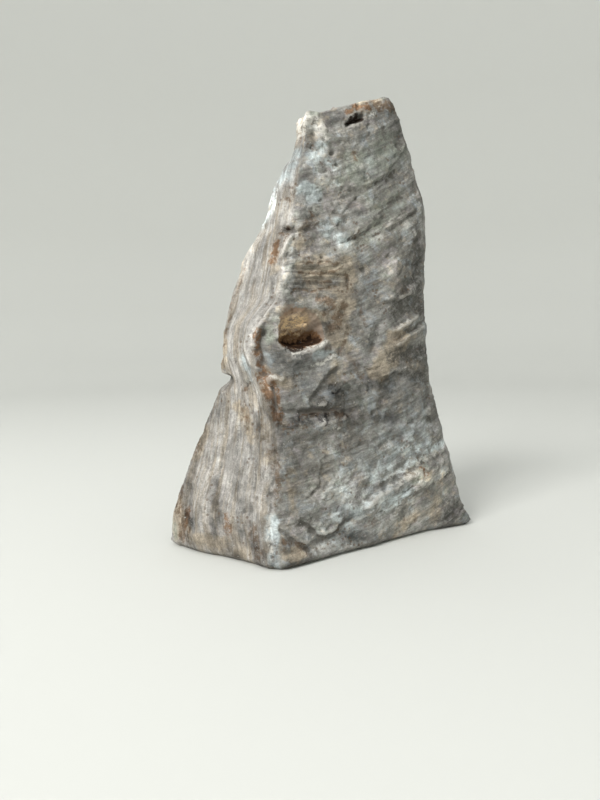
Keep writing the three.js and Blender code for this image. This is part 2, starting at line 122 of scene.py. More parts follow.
# Each form is (rise, up, down, ends, x, z, x, z ...). It stands rise out of the face along its path of points
# (x, z), or lies in it where rise is negative. It runs out over up on the path's left, over down on its
# right, and over ends at its two ends.
FRONT_FORMS = [
    # the shallow, brownish hollow over the niche, and the sharp edge at its left
    (-3, 11, 10, 12, -15, 141, 12, 146), (1.6, 4, 2.5, 6, -22, 133, -19, 141, -15, 151, -9, 155),
    # the lip under the niche, and the smooth, hollow cheek under the lip
    (2.2, 2, 9, 5, -19, 106.5, -12, 105.6, -6, 106.3, -1, 109, 4, 112), (-2.2, 10, 9, 11, -18, 92, 6, 98),
    # the sunk patch at the niche's left, and the raised rim around it
    (-3.2, 11, 2.2, 5, -29.5, 121, -31.5, 110, -29, 98),
    (2.4, 2, 5, 5, -29, 125, -33, 117, -35, 110, -34, 103, -30, 96),
    # the small ledge that closes the patch, and the rusty groove down from it
    (2.4, 1.5, 7, 4, -31, 93, -25, 95, -17, 94), (-1.8, 2, 2, 4, -27, 92, -24.5, 86, -23.5, 76),
    # the long level crack, with the stone under it a little proud
    (-1.8, 4, 1, 5, -23, 78, -12, 76, 0, 76, 14, 76.5), (1.2, 2.5, 9, 7, -16, 72, 0, 71.5, 18, 73),
    # the notch in the front edge, and the flap of stone under it
    (-2.4, 1.3, 4, 4, -21, 170.5, -17, 169, -11, 171), (2, 2.5, 1.5, 4, -21, 153, -18, 159, -12, 168),
    # the sloping ledges of the upper right
    (2, 9, 2, 8, 8, 163, 22, 170, 38, 182), (1.8, 7, 1.5, 6, 34, 171, 45, 178, 56, 187),
    (1.6, 8, 2, 9, 12, 190, 28, 196, 46, 208), (1.5, 2, 7, 7, -10, 193, 2, 197, 14, 203),
    # the middle right: an overhung band, and two ledges that catch the light under it
    (1.8, 8, 1.5, 6, 30, 134, 44, 135, 58, 139), (1.8, 1.5, 4, 5, 36, 116, 48, 121, 60, 127),
    (2.2, 1.5, 8, 6, 38, 107, 50, 114, 64, 122), (-1.6, 5, 4, 8, 24, 98, 30, 112, 33, 126),
    (-2.2, 8, 1.5, 5, 11, 101, 2, 91, -8, 79),
    # the lower right: a ledge that climbs to the right, and the fainter one above it
    (2.8, 2.5, 15, 8, 18, 20, 30, 29, 42, 31, 58, 39, 76, 42), (1.3, 2, 8, 9, 30, 52, 46, 57, 66, 68),
    # the V-shaped chips over the foot
    (-1.8, 1.5, 5, 4, -13, 24, 2, 10, 15, 20), (-1.7, 1.5, 5, 4, -24, 21, -13, 12, -4, 4),
    # the slot under the top's edge, and the arch of the nub beside it
    (-5, 2, 2, 3, 15, 224.5, 20, 228, 27, 233), (1.4, 3, 3, 4, -10, 219, -6, 225.5, 0, 227.5, 5, 218),
    (-1.8, 4, 4, 4, -5, 216, 1, 219),
    # the swell of the left face's foot, and the step in the left edge
    (3.5, 16, 16, 26, -72, -30, -58, 48), (-4.8, 2.5, 8, 6, -62, 93, -47, 93),
]
BACK_FORMS = [
    (-2.6, 3, 14, 9, 80, 74, 66, 84, 40, 92), (-2.8, 9, 3, 14, 62, 118, 52, 150, 46, 176),
    (2.2, 2, 9, 8, 58, 206, 36, 198, 16, 208), (3, 4, 16, 12, 60, 60, 30, 74, 0, 70),
    (2.6, 3, 14, 10, 48, 140, 30, 128, 14, 130, -6, 118), (-3, 12, 7, 16, -20, 90, -34, 62, -44, 30),
    (-2.4, 9, 6, 9, 30, 190, 8, 178), (-2.2, 10, 3, 12, 70, 20, 40, 27, 6, 22),
    (2.2, 6, 3, 12, -20, 165, -32, 140, -44, 120),
]
# The top's own forms: (x, y, reach, rise).
TOP_FORMS = [
    (-5, -27, 9, 2.2),  # the nub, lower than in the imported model, whose coarse mesh rounds it off
    (6, -19, 5, -4),  # the notch beside the nub
    (39, -9, 7, 1.8),  # the knob at its right end
    (16, 4, 14, -3),  # the dip in its middle
]
# The niche: a deep, eye-shaped pocket over a shelf that curves up at both ends.
NICHE = {
    "middle": -9.5,
    "half_width": 12,
    "shelf": 108.3,  # the height of its floor at its middle
    "climb": 0.06,  # how much the floor rises for each millimetre to the right
    "bowl": 0.03,  # and how fast it curves up both ways
    "lean": 0.22,  # how far to the left its top lies, as a share of its height
    "height": 20,
    "depth": 9.5,
    "squareness": 2.5,  # 2 would make its ends round, and more makes them blunt
    "floor": 0.12,  # the share of its height over which the floor turns out
}


def smooth(t):
    """Goes from 0 to 1 as t does, level at both ends, and is held there outside."""
    s = np.clip(t, 0, 1)
    return s * s * (3 - 2 * s)


# ---- Uneven stone: the same pseudo-random numbers each time, from whole numbers ----
WORD = 0xFFFFFFFF  # keeps the whole numbers to 32 bits


def random(i, j, k):
    h = ((i * 73856093) ^ (j * 19349663) ^ (k * 83492791)) & WORD
    h = ((h ^ (h >> 13)) * 1274126177) & WORD
    return (h ^ (h >> 16)) / 2**32


def whole(a):
    return np.floor(a).astype(np.int64)


def noise(x, y, z, seed):
    """Smooth noise from -1 to 1."""
    x, y, z = np.broadcast_arrays(x, y, z)
    i, j, k = whole(x), whole(y), whole(z)
    u, v, w = smooth(x - i), smooth(y - j), smooth(z - k)
    total = np.zeros(x.shape)
    for a, b, c in product((0, 1), repeat=3):
        weight = (u if a else 1 - u) * (v if b else 1 - v) * (w if c else 1 - w)
        total += weight * random(i + a + seed, j + b, k + c)
    return 2 * total - 1


def scaled(p, width, height):
    """The points' x and y in widths, and z in heights."""
    return p[..., 0] / width, p[..., 1] / width, p[..., 2] / height


def wave(p, width, height, seed):
    return noise(*scaled(p, width, height), seed)


def layers(depth, seed):
    """How far the edge of the layer at this depth stands out, from -1 to 1."""
    i = whole(depth)
    step = smooth((depth - i - 0.5) / LAYER_STEP + 0.5)
    here, there = random(i, seed, 0), random(i + 1, seed, 0)
    return 2 * (here + (there - here) * step) - 1


def cells_around(x, y, z, seed):
    """Each cell round the points: its three random numbers, and where its own point lies."""
    for i, j, k in product((-1, 0, 1), repeat=3):
        a, b, c = whole(x) + i, whole(y) + j, whole(z) + k
        own = (random(a + seed, b, c), random(a, b + seed, c), random(a, b, c + seed))
        yield own, (a + own[0] - x, b + own[1] - y, c + own[2] - z)


def chips(x, y, z, seed):
    """Flaked chips: bowls with sharp edges, from -1 at their middle to 0 at their edge."""
    nearest = np.full(x.shape, np.inf)
    for _, (dx, dy, dz) in cells_around(x, y, z, seed):
        nearest = np.minimum(nearest, dx * dx + dy * dy + dz * dz)
    return np.minimum(nearest, 1) - 1


def facets(x, y, z, seed):
    """Broken facets: flat faces that each lean their own way."""
    nearest = np.full(x.shape, np.inf)
    height = np.zeros(x.shape)
    for lean, (dx, dy, dz) in cells_around(x, y, z, seed):
        distance = dx * dx + dy * dy + dz * dz
        closer = distance < nearest
        nearest = np.where(closer, distance, nearest)
        tilt = (lean[1] - 0.5) * dx + (lean[2] - 0.5) * dy + (lean[0] - 0.5) * dz
        height = np.where(closer, 2 * tilt + 0.5 * (lean[0] - lean[2]), height)
    return height


# The noises that make the edges of forms, stains and painted light and shade ragged: how far each moves them,
# its width and its seed.
FORM_SHIFTS = [(0.7, 6, 71), (0.7, 2.4, 72)]
MARK_SHIFTS = [*FORM_SHIFTS, (0.9, 3.4, 73)]


def shifted(x, z, shifts):
    """The points moved about a little by noise."""
    move_x = sum(by * noise(x / width, z / width, 0.5, seed) for by, width, seed in shifts)
    move_z = sum(by * noise(x / width, z / width, 9.5, seed) for by, width, seed in shifts)
    return x + move_x, z + move_z


# ---- The outline ----
def station(path, z):
    """A smooth curve through a corner's stations, at height z."""
    i = 0
    while i < len(path) - 2 and z > path[i + 1][0]:
        i += 1
    before, start = path[max(i - 1, 0)], path[i]
    end, after = path[i + 1], path[min(i + 2, len(path) - 1)]
    span = end[0] - start[0]
    t = (z - start[0]) / span
    h00, h10 = (1 + 2 * t) * (1 - t) ** 2, t * (1 - t) ** 2
    h01, h11 = t * t * (3 - 2 * t), t * t * (t - 1)
    place = []
    for a in (1, 2):
        slope_in = (end[a] - before[a]) / (end[0] - before[0])
        slope_out = (after[a] - start[a]) / (after[0] - start[0])
        place.append(h00 * start[a] + h10 * span * slope_in + h01 * end[a] + h11 * span * slope_out)
    return (*place, z)


def corners_at(v):
    return np.array([station(path, v * path[-1][0]) for _, _, path in CORNERS.values()])


def unit(a):
    return a / np.linalg.norm(a, axis=-1, keepdims=True)


def outline_point(corners, k, t):
    """The outline's points at shares t of the way along faces k, with its corners rounded."""
    n = len(corners)
    here, ahead = corners[k], corners[(k + 1) % n]
    length = np.linalg.norm(ahead - here, axis=1)
    nearest = np.where(t < 0.5, k, (k + 1) % n)
    corner = corners[nearest]
    gap = np.where(t < 0.5, t, 1 - t) * length
    reach = ROUNDS[nearest]
    a = corner + unit(corners[(nearest - 1) % n] - corner) * reach[:, None]
    b = corner + unit(corners[(nearest + 1) % n] - corner) * reach[:, None]
    w = np.where(t < 0.5, 0.5 + gap / reach / 2, 0.5 - gap / reach / 2)[:, None]
    curve = a * (1 - w) ** 2 + corner * 2 * w * (1 - w) + b * w * w
    straight = here + (ahead - here) * t[:, None]
    return np.where((gap >= reach)[:, None], straight, curve)


def outline_from(corners, k, t, distance):
    """The outline's points a distance along it, either way, past one corner at most."""
    n = len(corners)
    length = np.linalg.norm(corners[(k + 1) % n] - corners[k], axis=1)
    s = t + distance / length
    other = np.where(s < 0, (k - 1) % n, np.where(s > 1, (k + 1) % n, k))
    other_length = np.linalg.norm(corners[(other + 1) % n] - corners[other], axis=1)
    past_start = 1 - (-s) * length / other_length
    past_end = (s - 1) * length / other_length
    share = np.where(s < 0, past_start, np.where(s > 1, past_end, s))
    return outline_point(corners, other, share)


def outward(corners, k, t):
    """The level directions straight out of the faces."""
    step = outline_from(corners, k, t, NORMAL_REACH) - outline_from(corners, k, t, -NORMAL_REACH)
    return unit(np.stack([step[:, 1], -step[:, 0], np.zeros(len(step))], axis=1))


# ---- Relief ----
def path_place(path, x, z):
    """The points' distance from a path, their side of it, how far along it they lie, and its length."""
    nearest = np.full(x.shape, np.inf)
    side = np.ones(x.shape)
    along = np.zeros(x.shape)
    total = 0.0
    for x0, z0, x1, z1 in zip(*(path[i::2] for i in range(4))):
        dx, dz = x1 - x0, z1 - z0
        length = math.hypot(dx, dz)
        t = np.clip(((x - x0) * dx + (z - z0) * dz) / length**2, 0, 1)
        distance = np.hypot(x - x0 - t * dx, z - z0 - t * dz)
        closer = distance < nearest
        nearest = np.where(closer, distance, nearest)
        side = np.where(closer, np.sign(dx * (z - z0) - dz * (x - x0)), side)
        along = np.where(closer, total + t * length, along)
        total += length
    return nearest, side, along, total


def form_rise(form, x, z):
    rise, up, down, ends, *path = form
    nearest, side, along, total = path_place(path, x, z)
    taper = smooth(np.minimum(along, total - along) / ends)
    return rise * taper * (1 - smooth(nearest / np.where(side > 0, up, down)))


def niche_share(x, z):
    """How far up the niche a point lies, 0 at its floor and 1 at its roof, and how open it is there."""
    aside = x - NICHE["middle"]
    rise = z - NICHE["shelf"] - NICHE["climb"] * aside - NICHE["bowl"] * aside**2
    across = np.abs(aside + NICHE["lean"] * rise**2 / NICHE["height"]) / NICHE["half_width"]
    opening = np.maximum(1 - np.minimum(across, 1) ** NICHE["squareness"], 1e-9)
    return rise / (NICHE["height"] * np.sqrt(opening)), opening


def niche_depth(x, z):
    """The niche deepens downwards, and its floor turns out again at the shelf."""
    share, opening = niche_share(x, z)
    floor = NICHE["floor"]
    profile = np.where(share < floor, smooth(share / floor), 1 - smooth((share - floor) / (1 - floor)))
    return NICHE["depth"] * opening**0.8 * profile * ((share > 0) & (share < 1))


def break_level(x, z, curve=1.0):
    """The height at which the break through a point starts at the left: breaks climb to the right."""
    s = np.maximum(x - BREAKS_FROM, 0)
    return z - BREAKS_SLOPE * s - BREAKS_CURVE * curve * s * s


def front_share(k, t):
    """1 on the front's faces, running out just round the corners to the back."""
    front = np.where(k >= FACES["back_right"], 0.0, 1.0)
    front = np.where(k == FACES["right"], 1 - smooth(t / FRONT_RUNS_OUT), front)
    return np.where(k == FACES["back_left"], 1 - smooth((1 - t) / FRONT_RUNS_OUT), front)


def coarse_relief(p, crossing, depth, front):
    """How far the stone stands out of its plain outline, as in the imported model."""
    x, y, z = p[..., 0], p[..., 1], p[..., 2]
    out = np.zeros(x.shape)
    wx, wz = shifted(x, z, FORM_SHIFTS)
    for form in FRONT_FORMS:
        out += front * form_rise(form, wx, wz)
    out -= front * niche_depth(wx, wz)
    for form in BACK_FORMS:
        out += (1 - front) * form_rise(form, x, z)
    bend = LAYER_WAVE * wave(p, LAYER_WAVE_WIDTH, LAYER_WAVE_HEIGHT, seed=11)
    out += LAYER_RELIEF * crossing * layers(depth / LAYER_THICKNESS + bend, seed=11)
    chip = chips(x / CHIP_WIDTH, y / CHIP_WIDTH, break_level(x, z) / CHIP_HEIGHT, seed=5)
    out += CHIP_RELIEF * (1 - CHIPS_LOST * front * crossing) * (chip + 0.5)
    out += LUMP_RELIEF * (2 - front) * wave(p, LUMP_WIDTH, LUMP_HEIGHT, seed=3)
    return out * smooth((z + FOOT_KEEPS) / (FOOT_CALM + FOOT_KEEPS))


def top_rise(x, y):
    rise = TOP_RELIEF * noise(x / TOP_RELIEF_WIDTH, y / TOP_RELIEF_WIDTH, 0.5, seed=7)
    for cx, cy, reach, height in TOP_FORMS:
        rise = rise + height * (1 - smooth(np.hypot(x - cx, y - cy) / reach))
    return rise


# ======== The fine relief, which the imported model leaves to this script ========
FINE_SET_BACK = 0.6  # how far it is set back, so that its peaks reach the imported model's faces
FINE_FROM = 1.0  # the height that it starts at
FINE_OVER = 4.0  # and the height that it takes to come up in full

# Ridges on the faces that cross the layers, and cleavage lines on the flat ones: how far they stand out, how
# thick their layers are, how many thicknesses they bend by, and their seed.
RIDGES = (0.5, 3.3, 0.9, 23)
THIN_RIDGES = (0.4, 1.7, 1.6, 25)
CLEAVAGE = (0.36, 2.6, 0.9, 29)
THIN_CLEAVAGE = (0.2, 1.5, 1.2, 31)

# Facets, chips and grain: how far each size stands out, its width and height, and its seed.
FACETS = [(0.85, 15, 9, 37), (0.4, 6.5, 4.2, 38)]
SMALL_CHIPS = [(0.4, 10, 6, 33), (0.25, 4, 2.8, 34)]
GRAIN = [(0.3, 6, 5, 35), (0.15, 2.6, 2.3, 36)]
TOP_CHIPS = (0.9, 7, 41)
TOP_GRAIN = (0.4, 3, 42)
TOP_GRAIN_OVER = 1 / 6  # the share of the way in from the rim over which they come up
ROUGHNESS_LOST = 0.6  # the share of facets and chips missing where the front crosses the layers
GRAIN_CURVE = 0.45  # the share of the breaks' steepening that the grain has low down
GRAIN_CURVE_FROM = 100.0  # the height from which it takes up the rest
GRAIN_CURVE_OVER = 70.0

# The smooth cheek under the niche: its middle, its reach, and the share of facets and chips it lacks.
CHEEK = {"x": -8, "z": 97, "width": 10, "height": 8, "lost": 0.75}

PIT_EDGE = 0.6  # how far a pit runs out past its radius
# The dark pits in the front: (x, z, radius, depth).
PITS = [
    (7, 209.5, 2.2, 2.4), (10, 203.5, 1.5, 1.4), (1, 184.5, 1.4, 1), (-3, 178, 1.4, 1), (21, 187, 1.6, 1),
    (18, 191.5, 1.8, 1), (24.5, 150, 2.6, 2), (15, 143.5, 2.2, 1.2), (20, 138.5, 1.6, 1.2),
    (11.5, 149.5, 1.5, 1), (12, 127.5, 1.8, 1), (3, 128, 1.8, 1), (1.5, 154.5, 2, 1.5), (13, 74.8, 2, 1.5),
    (17, 71, 1.5, 1.2), (28, 73, 1.5, 1.2), (-19.5, 74.5, 1.8, 1.5), (-22, 70, 1.5, 1.2), (15, 86.5, 1.3, 1),
    (-40, 90, 2, 1.4), (-46, 102, 1.4, 1.2), (-49, 38, 1.3, 0.9), (-41, 26, 1.3, 0.9), (-42.5, 14, 2, 1.2),
    (-28, 36, 1.4, 1), (1.5, 33, 1.6, 1), (-6, 24, 1.8, 1), (15, 44, 1.4, 0.8), (58.5, 38, 2.4, 1.4),
    (-11, 222, 1.6, 1), (29, 58, 1.5, 0.8), (46, 219, 2.2, 1.2), (-31, 143, 1.6, 1.2),
]


def grain_level(x, z):
    """As break_level, for the grain of the front, which climbs less steeply low down."""
    curve = GRAIN_CURVE + (1 - GRAIN_CURVE) * smooth((z - GRAIN_CURVE_FROM) / GRAIN_CURVE_OVER)
    return break_level(x, z, curve)


def edges(place, kind, bend):
    """The edges of one kind of layers, which lie across place."""
    rise, thickness, bending, seed = kind
    return rise * layers(place / thickness + bending * bend, seed)


def roughness(p, crossing, front):
    aside = (p[..., 0] - CHEEK["x"]) / CHEEK["width"]
    over = (p[..., 2] - CHEEK["z"]) / CHEEK["height"]
    cheek = np.exp(-((aside**2 + over**2) ** 2))
    return (1 - CHEEK["lost"] * front * cheek) * (1 - ROUGHNESS_LOST * front * crossing)


def fine_relief(p, crossing, depth, front):
    """How far the fine relief stands out of the coarse one."""
    x, y, z = p[..., 0], p[..., 1], p[..., 2]
    level = grain_level(x, z)
    # the layers' edges, as ragged ridges, of which the thin ones come and go
    bend = wave(p, 40, 30, seed=21) + 0.35 * wave(p, 11, 13, seed=22)
    out = -FINE_SET_BACK + crossing * edges(depth, RIDGES, bend)
    shown = smooth(0.5 + wave(p, 9, 14, seed=26))
    out += crossing * shown * edges(depth, THIN_RIDGES, bend + 0.3125 * wave(p, 6, 8, seed=24))
    # the cleavage lines of the flat faces, strong in some places and faint in others
    flat = 1 - crossing
    shown = smooth(0.4 + 1.1 * wave(p, 30, 26, seed=27))
    out += flat * shown * edges(level, CLEAVAGE, wave(p, 16, 9, seed=28))
    out += flat * edges(level, THIN_CLEAVAGE, wave(p, 9, 6, seed=30))
    leaned = np.stack([x, y, level], axis=-1)
    rough = roughness(p, crossing, front)
    for rise, width, height, seed in FACETS:
        out += rise * rough * facets(*scaled(leaned, width, height), seed)
    for rise, width, height, seed in SMALL_CHIPS:
        out += rise * rough * (chips(*scaled(leaned, width, height), seed) + 0.5)
    for rise, width, height, seed in GRAIN:
        out += rise * wave(p, width, height, seed)
    wx, wz = shifted(x, z, FORM_SHIFTS)
    for px, pz, radius, drop in PITS:
        out -= front * drop * (1 - smooth(np.hypot(wx - px, wz - pz) / (radius + PIT_EDGE)))
    return out * smooth((z - FINE_FROM) / FINE_OVER)


def top_grain(x, y, share):
    """The top's fine relief, this share of the way from its rim to its middle."""
    chip_rise, chip_width, chip_seed = TOP_CHIPS
    rise, width, seed = TOP_GRAIN
    chip = chips(x / chip_width, y / chip_width, np.full(x.shape, 0.5), chip_seed)
    grain = -FINE_SET_BACK + chip_rise * (chip + 0.5) + rise * noise(x / width, y / width, 0.5, seed)
    return smooth(share / TOP_GRAIN_OVER) * grain


def blurred(field, reach):
    """A field averaged over reach of the mesh's rows and columns each way."""
    # the rows end at the foot and the rim, and the columns go all the way round
    for axis, mode in ((0, "clip"), (1, "wrap")):
        here = np.arange(field.shape[axis])
        steps = range(-reach, reach + 1)
        field = sum(np.take(field, here + step, axis, mode=mode) for step in steps) / len(steps)
    return field


# ======== Stains and tones, and painted light and shade ===
# Each is (width, strength, x, z, x, z ...): how wide and how strong it is, and its path on the front.
STAINS_AND_PAINTED_LIGHT = {}
STAINS_AND_PAINTED_LIGHT["rust"] = [
    (3, 1.3, -29, 96, -27.5, 90, -25, 84),  # the groove under the small ledge
    (3.4, 1.2, -25, 90, -24, 80, -22.5, 74), (1.4, 0.8, -31.5, 118, -32.3, 112, -31.8, 105, -29.5, 97),
    (1.8, 0.8, -25, 152, -23, 158, -21.5, 163),
    (1.5, 1, -18, 126.5, -14, 128, -9, 128),  # under the niche's roof
    (1.4, 0.7, -20, 124, -20.5, 116), (2.4, 0.7, -73, 21, -73.5, 12), (2.4, 0.65, -51, 22, -51, 14),
    (2.2, 0.45, -42, 80, -40, 70), (1.6, 0.8, 57, 39, 59, 36), (2.2, 1.1, 17, 232.5, 27, 236),
]
STAINS_AND_PAINTED_LIGHT["brown"] = [
    (1.4, 0.7, -8, 152, 4, 153, 12, 152), (1.1, 0.8, -10, 147, 2, 147.5, 10, 149),
    (1.2, 0.8, -8, 143, 6, 143), (1, 0.7, -14, 138, -2, 138, 8, 140), (3, 0.9, 6, 118, 10, 124, 12, 130),
    (2, 0.6, 9, 104, 13, 112), (2, 0.5, 18, 100, 22, 92), (1.6, 0.5, 24, 120, 22, 130),
    (2.6, 1.1, 0, 134, 6, 131), (2.4, 0.6, 14, 141, 15, 147), (2.2, 0.7, 5, 129, 2, 126),
    (1.8, 1, -19, 168, -14, 170), (4, 0.45, -12, 171, 0, 172), (2, 0.5, -3, 173, -4, 178),
    (3.4, 0.6, -26, 58, -23, 44, -24, 32), (2.2, 0.6, 20, 211, 20, 207), (3.4, 0.9, 32, 238, 46, 240),
    (2.4, 0.8, -78, 46, -80, 34, -80, 18), (1.6, 0.5, -69, 62, -71, 50),
    (1.4, 0.5, -52, 116, -47, 136, -42, 152), (1.6, 0.5, -55, 100, -53, 112),
    (4.2, 0.75, -37, 18, -35, 12, -34, 6), (1.6, 0.8, -20, 14, -14, 12, -8, 6), (3.6, 0.35, -20, 10, -12, 6),
    (1.8, 0.9, -10, 75.5, 4, 76, 12, 73), (2.2, 0.6, 5, 78, 9, 70), (1.8, 1, 57, 40, 58, 37),
    (1.6, 0.5, 40, 112, 52, 118), (2, 0.7, -39, 91, -41, 88), (1.6, 0.6, -14, 187, -16, 184),
    (1.4, 0.5, 53, 12, 53.5, 9), (2.4, 0.5, 24, 12, 28, 16),
    (1.3, 1.1, -31.5, 119, -32.3, 112, -31.8, 105, -30.5, 99),
    (1.8, 0.7, -20, 112, -19.5, 121, -15, 127.5, -8, 129),  # round the niche
    (4, 0.8, -77, 20, -76, 6),
]
# painted shadow: the darkness inside the hole under the top's edge, in the notch and on the niche's floor
STAINS_AND_PAINTED_LIGHT["dark"] = [
    (1.7, 1.2, 19, 228.5, 24, 230.5),  # the hole under the top's edge
    (1, 0.8, -19, 169.5, -15, 169),
    (2.2, 0.8, -19, 112, -14, 109.3, -9, 110, -3, 112.5),  # the niche's floor
    (1.2, 1.2, -17.5, 109.3, -14, 108, -10, 108.2),
]
# painted shade: shadows under ledges and chips, in cracks, and on faces turned away from the light
STAINS_AND_PAINTED_LIGHT["shade"] = [
    (1.2, 1.3, -13, 23, -7, 17, 1, 10.5, 6, 14, 12, 19),  # the V over the foot
    (1.2, 1.1, -21, 14.5, -15, 13, -9, 8, -6, 4),
    (0.8, 1, -12, 76, 4, 76.8, 12, 76),  # the long level crack
    (3, 0.6, -12, 22, -6, 21), (1.2, 0.9, 42, 177, 50, 181, 55, 184),
    (0.9, 0.9, 20, 170, 28, 176, 38, 184, 46, 190), (0.8, 0.8, 30, 168, 40, 176, 48, 184),
    (0.8, 0.6, 24, 190, 34, 198, 42, 206), (6, 0.8, 40, 104, 58, 104), (6, 0.6, 50, 94, 60, 90),
    (5.5, 0.8, 42, 126, 50, 132, 50, 137), (3.5, 0.9, 58, 128, 56, 150, 56, 176), (3, 0.6, 50, 146, 52, 160),
    (1, 0.6, -11, 195, 3, 196.5), (7, 0.7, 72, 6, 78, 16), (1.1, 1.2, 32, 33, 42, 36.5, 50, 38.5),
    (2.4, 0.8, 46, 218, 49, 226), (2, 0.6, 38, 222, 36, 226), (1.6, 0.6, 38, 198, 44, 204),
    (2, 0.6, -4, 175, -2, 180), (2, 0.6, -12, 142, -18, 134), (2.2, 0.7, -6, 121, 4, 121.5),
    (1.6, 0.6, -21, 118, -21, 110),
]
# painted highlights where lips, ledges, arches and thin flakes catch the light, with some pale spots of the
# stone's own
STAINS_AND_PAINTED_LIGHT["pale"] = [
    (2.8, 0.8, -9, 219, -8, 223, -4, 226),  # the nub's arch
    (2.4, 0.8, -4, 226, 0, 226, 2, 222, 4.5, 217),
    (0.9, 1, -15, 106.6, -8, 107.2, -3, 109, 3, 112),  # the lip of the niche
    (1.6, 0.6, -21, 156, -17, 162, -11, 167), (1, 0.5, -20, 137, -18, 142, -15, 150, -9, 154.5),
    (1.2, 0.8, -26.5, 95, -21, 94), (1.8, 0.5, -28, 26, -28.5, 16, -27, 6),
    (1.5, 0.7, -3, 100.3, 3, 102, 7, 104), (1, 0.5, 42, 119.5, 50, 123), (1.3, 0.7, 11, 161, 14, 162.5),
    (1.8, 0.5, 39, 150, 42, 147), (1.2, 0.5, -7, 201.5, -6, 200), (1.6, 0.5, -2, 209, 3, 208),
    (1.6, 0.5, 19, 203, 23, 205), (1.8, 0.6, 29, 231, 31, 233), (1.6, 0.4, 31, 28.5, 38, 31, 46, 34),
    (2.6, 0.7, 50, 36, 58, 35.5), (1.8, 0.6, 52, 41, 60, 44, 70, 46), (1.7, 0.5, 33, 53, 37, 56),
    (1.4, 0.5, 44, 49, 50, 51), (1.2, 0.6, -1, 72, 1, 72.5), (1.2, 0.6, 6, 67.5, 8, 67),
    (2, 0.5, -45, 74, -46, 66),
]
STAINS_AND_PAINTED_LIGHT["blue"] = [
    (4.5, 1, -8, 190, -2, 187), (4, 0.7, 2, 171, 14, 163), (4, 0.7, -3, 206, 2, 212),
    (22, 0.45, 12, 20, 50, 56), (2.4, 0.7, -3, 105, 5, 106.5), (4, 0.6, 27, 202, 29, 211),
    (3, 0.5, 5, 205, 8, 200), (2.4, 0.7, -28, 107, -26, 103), (3, 0.8, -40, 104, -38, 92),
    (4, 0.6, 44, 40, 50, 43, 56, 52), (3, 0.7, 62, 48, 74, 50), (2.4, 0.6, 10, 175, 16, 173),
    (5, 0.7, 36, 22, 48, 26),
    (3.6, 0.9, -27, 24, -26.5, 14, -25, 4),  # the column at the front of the foot
    (6, 0.8, -32, 178, -24, 192, -14, 208),
]
STAINS_AND_PAINTED_LIGHT["green"] = [
    (3.2, 0.8, -27, 120, -27, 114), (2.6, 0.9, -84, 13, -82, 6), (2.6, 0.9, 60, 40, 52, 34),
    (4, 0.5, 14, 88, 22, 80), (12, 0.7, 18, 200, 42, 216), (9, 0.5, 24, 170, 44, 190),
    (1.8, 0.8, -2, 228, 1, 230),
]
# the flat layers of the hollow, which show as level stripes
STAINS_AND_PAINTED_LIGHT["beds"] = [
    (6, 1.2, -13, 149, 10, 148), (5, 1.1, -10, 141, 8, 141),
]
# the smooth cheek under the lip
STAINS_AND_PAINTED_LIGHT["calm"] = [
    (5, 1, -13, 101, 0, 98), (4, 0.9, -12, 92, -4, 90),
]
STAINS_AND_PAINTED_LIGHT["beige"] = [
    (6, 1.3, -7, 149, 2, 149, 11, 147),  # the brownish hollow
    (5, 0.9, -4, 141, 10, 139), (6, 1.3, 8, 114, 12, 128, 14, 142, 16, 152), (3.4, 1.1, -6, 126, 4, 124),
    (4.5, 0.8, 8, 92, 10, 100), (4, 0.6, 12, 112, 16, 104), (6, 2.2, 33, 96, 38, 104, 43, 112),
    (3, 0.6, 38, 116, 48, 120), (4.5, 0.7, 42, 6, 58, 12), (6, 0.6, 66, 10, 72, 30),
    (3, 0.5, -9, 221, -3, 216), (3, 0.6, 22, 238, 32, 240), (4, 0.6, -78, 7, -40, 5),
    (5, 1.4, -82, 26, -80, 8), (3, 1, -65, 64, -71, 48), (4, 1, -78, 16, -70, 8, -52, 8),
    (4, 0.9, -45, 78, -38, 64), (4, 1.7, -56, 118, -56, 102), (2.6, 0.6, -24, 148, -23, 158),
    (2.4, 0.8, -10, 160, -9, 168), (2.6, 0.8, -29, 99, -24, 96), (4, 0.6, -30, 72, -28, 54),
    (3.4, 0.9, -24, 95, -16, 92), (4, 1, -22, 8, -12, 6), (3.4, 1.1, 50, 37, 60, 36),
    (5, 0.5, 50, 100, 58, 96), (3, 0.6, -17, 48, -15, 28), (4, 0.5, 42, 142, 48, 138),
]
